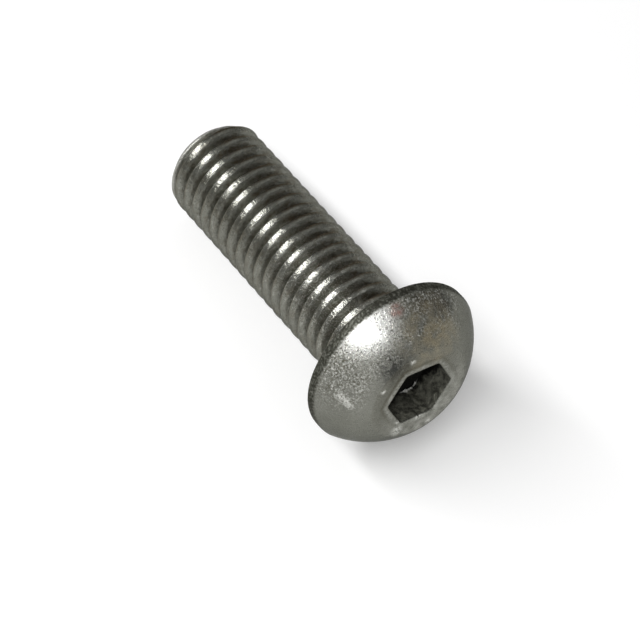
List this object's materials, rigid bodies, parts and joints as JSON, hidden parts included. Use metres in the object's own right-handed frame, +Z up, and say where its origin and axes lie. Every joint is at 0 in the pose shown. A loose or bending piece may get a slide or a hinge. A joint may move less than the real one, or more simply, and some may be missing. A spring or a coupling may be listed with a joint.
{
  "type": "button head screw",
  "caption": "Button head socket screw, fully threaded, lying on its side, in satin stainless steel.",
  "frame": {"origin": "on the surface that the screw lies on, under the middle of its bounding box", "axes": "+X from the tip towards the head, level; +Z up. The screw's own axis rises by 7.3 degrees towards the head, in the XZ plane, because it lies on the rim of its head and on the thread at its tip"},
  "size_m": [0.036, 0.0174, 0.0174],
  "materials": {
    "stainless_steel": "satin stainless steel with a fine grain, worn brighter on the thread's crests and darker in its grooves and in the socket"
  },
  "bodies": {
    "root": {"button_head_screw": "stainless_steel"}
  },
  "joints": []
}
